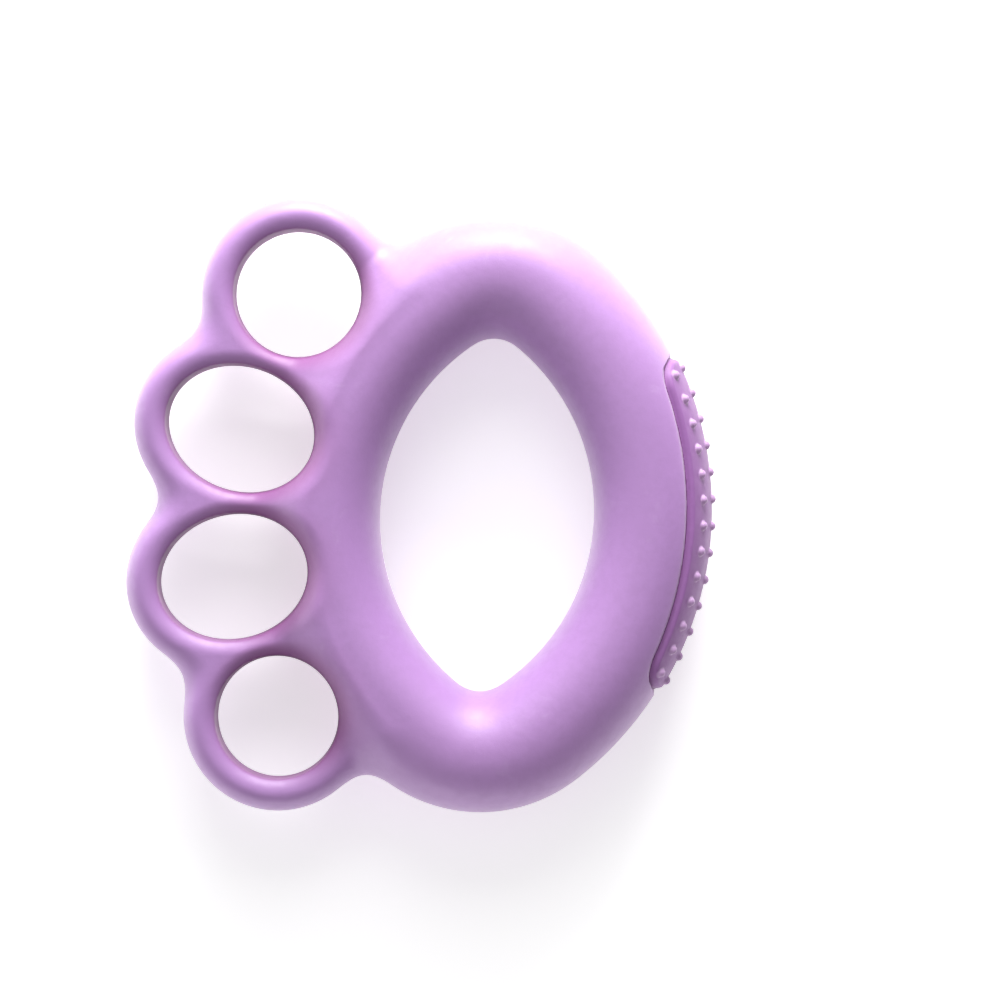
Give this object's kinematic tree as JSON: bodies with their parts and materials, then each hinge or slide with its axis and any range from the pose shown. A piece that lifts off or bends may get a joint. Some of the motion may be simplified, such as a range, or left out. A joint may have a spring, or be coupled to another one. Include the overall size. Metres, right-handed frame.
{
  "type": "finger exerciser grip ring",
  "caption": "Soft squeeze ring with a lens-shaped opening, finger loops along one side and a nubbed palm pad on the other, for hand and finger exercise.",
  "frame": {"origin": "centre of the bounding box, on the mid-plane of the ring", "axes": "+X from the finger loops to the palm pad, +Y towards the index finger loop, +Z out of the face"},
  "size_m": [0.1036, 0.1092, 0.025],
  "materials": {
    "silicone_ring": "matte, soft touch silicone",
    "silicone_loops": "matte, soft touch silicone",
    "silicone_pad": "matte, soft touch silicone with moulded nubs"
  },
  "bodies": {
    "palm": {"palm_band": "silicone_ring", "palm_pad": "silicone_pad"},
    "finger_bank": {"finger_bridge": "silicone_ring"},
    "upper_palm_flex": {"upper_palm_arc": "silicone_ring"},
    "lower_palm_flex": {"lower_palm_arc": "silicone_ring"},
    "upper_finger_flex": {"upper_finger_arc": "silicone_ring"},
    "lower_finger_flex": {"lower_finger_arc": "silicone_ring"},
    "index_strap": {"index_loop": "silicone_loops"},
    "middle_strap": {"middle_loop": "silicone_loops"},
    "ring_finger_strap": {"ring_finger_loop": "silicone_loops"},
    "little_strap": {"little_loop": "silicone_loops"}
  },
  "joints": [
    {"name": "squeeze", "type": "slide", "parent": "palm", "child": "finger_bank", "axis": [1, 0, 0], "range_m": [-0.006, 0.018], "stiffness_N_per_m": 4000, "deforming": ["upper_palm_arc", "lower_palm_arc", "upper_finger_arc", "lower_finger_arc"]},
    {"name": "upper_palm_bend", "type": "slide", "parent": "palm", "child": "upper_palm_flex", "axis": [0.9066, 0.422, 0], "range_m": [-0.004, 0.0117]},
    {"name": "lower_palm_bend", "type": "slide", "parent": "palm", "child": "lower_palm_flex", "axis": [0.9066, -0.422, 0], "range_m": [-0.004, 0.0117]},
    {"name": "upper_finger_bend", "type": "slide", "parent": "finger_bank", "child": "upper_finger_flex", "axis": [-0.8412, 0.5408, 0], "range_m": [-0.0032, 0.0092]},
    {"name": "lower_finger_bend", "type": "slide", "parent": "finger_bank", "child": "lower_finger_flex", "axis": [-0.8412, -0.5408, 0], "range_m": [-0.0032, 0.0092]},
    {"name": "index_stretch", "type": "slide", "parent": "finger_bank", "child": "index_strap", "axis": [-0.6858, 0.7278, 0], "range_m": [0, 0.004], "stiffness_N_per_m": 2500},
    {"name": "middle_stretch", "type": "slide", "parent": "finger_bank", "child": "middle_strap", "axis": [-0.9588, 0.284, 0], "range_m": [0, 0.004], "stiffness_N_per_m": 2500},
    {"name": "ring_finger_stretch", "type": "slide", "parent": "finger_bank", "child": "ring_finger_strap", "axis": [-0.9588, -0.284, 0], "range_m": [0, 0.004], "stiffness_N_per_m": 2500},
    {"name": "little_stretch", "type": "slide", "parent": "finger_bank", "child": "little_strap", "axis": [-0.6858, -0.7278, 0], "range_m": [0, 0.004], "stiffness_N_per_m": 2500}
  ],
  "couplings": [
    {"joint": "upper_palm_bend", "follows": "squeeze", "ratio": 0.63977},
    {"joint": "lower_palm_bend", "follows": "squeeze", "ratio": 0.63977},
    {"joint": "upper_finger_bend", "follows": "squeeze", "ratio": 0.4993},
    {"joint": "lower_finger_bend", "follows": "squeeze", "ratio": 0.4993}
  ]
}
